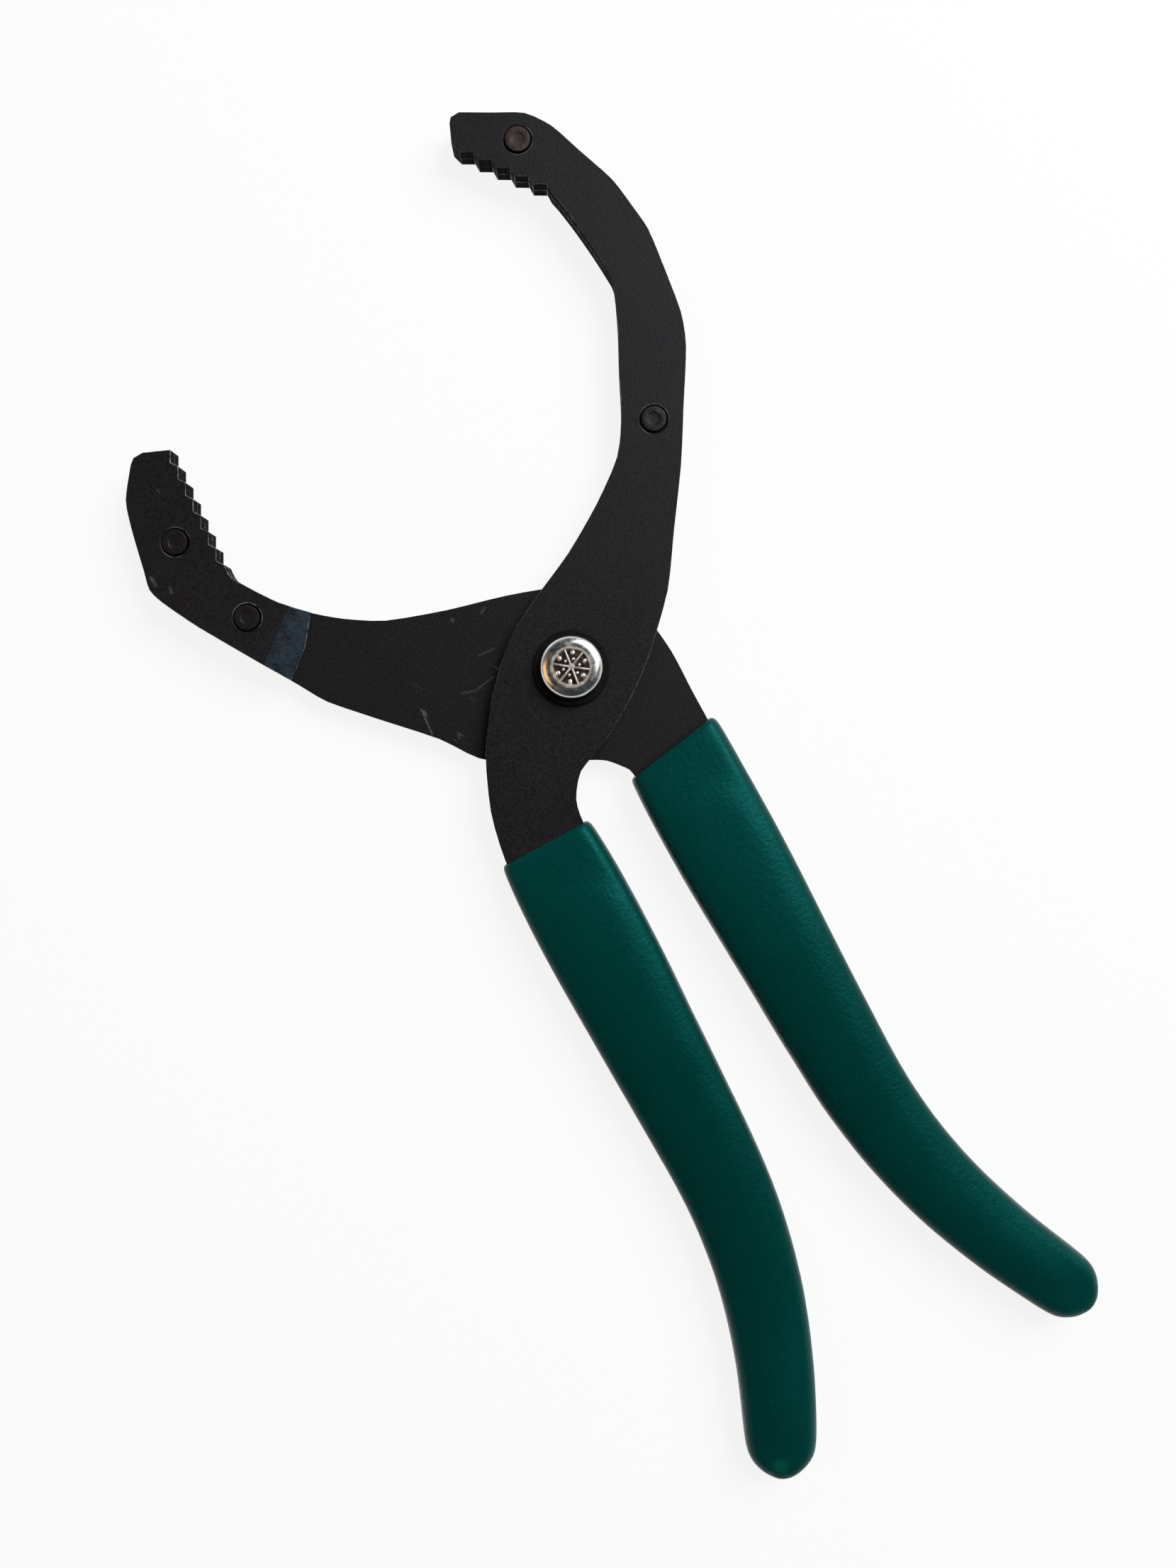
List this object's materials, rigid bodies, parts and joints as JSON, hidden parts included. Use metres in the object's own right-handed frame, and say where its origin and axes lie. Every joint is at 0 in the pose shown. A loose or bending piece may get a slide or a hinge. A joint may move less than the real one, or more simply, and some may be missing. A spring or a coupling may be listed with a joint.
{
  "type": "oil filter wrench",
  "caption": "Pliers-type oil filter wrench: curved toothed jaws on two lapped steel arms that turn on a pivot rivet, with dark green dipped grips.",
  "frame": {"origin": "on the pivot axis, at the flat rear head of the pivot rivet, which is the height of the surface that the tool lies on", "axes": "+Y from the pivot towards the jaws, midway between the handles' directions; +Z along the pivot axis towards the front arm; +X to the right with the jaws up"},
  "size_m": [0.1326, 0.301, 0.0121],
  "materials": {
    "black_steel": "satin black phosphate on stamped steel, worn bright along the edges",
    "black_rivet": "blackened flush rivets, ground level with the plates",
    "bright_rivet": "bright plated pivot rivet",
    "dipped_grip": "dark green dipped plastic, semi-gloss with a fine orange peel"
  },
  "bodies": {
    "rear_arm": {"rear_arm_plate": "black_steel", "rear_jaw_facing_plate": "black_steel", "rear_handle_plate": "black_steel", "rear_jaw_tip_rivet": "black_rivet", "rear_jaw_heel_rivet": "black_rivet", "rear_handle_upper_rivet": "black_rivet", "rear_handle_lower_rivet": "black_rivet", "rear_grip": "dipped_grip", "pivot_rivet": "bright_rivet", "pivot_washer": "black_steel"},
    "front_arm": {"front_arm_plate": "black_steel", "front_jaw_backing_plate": "black_steel", "front_handle_plate": "black_steel", "front_jaw_tip_rivet": "black_rivet", "front_jaw_heel_rivet": "black_rivet", "front_handle_upper_rivet": "black_rivet", "front_handle_lower_rivet": "black_rivet", "front_grip": "dipped_grip"}
  },
  "joints": [
    {"name": "jaw_pivot", "type": "hinge", "parent": "rear_arm", "child": "front_arm", "pos_m": [0, 0, 0.0066], "axis": [0, 0, 1], "range_deg": [-30, 8]}
  ]
}
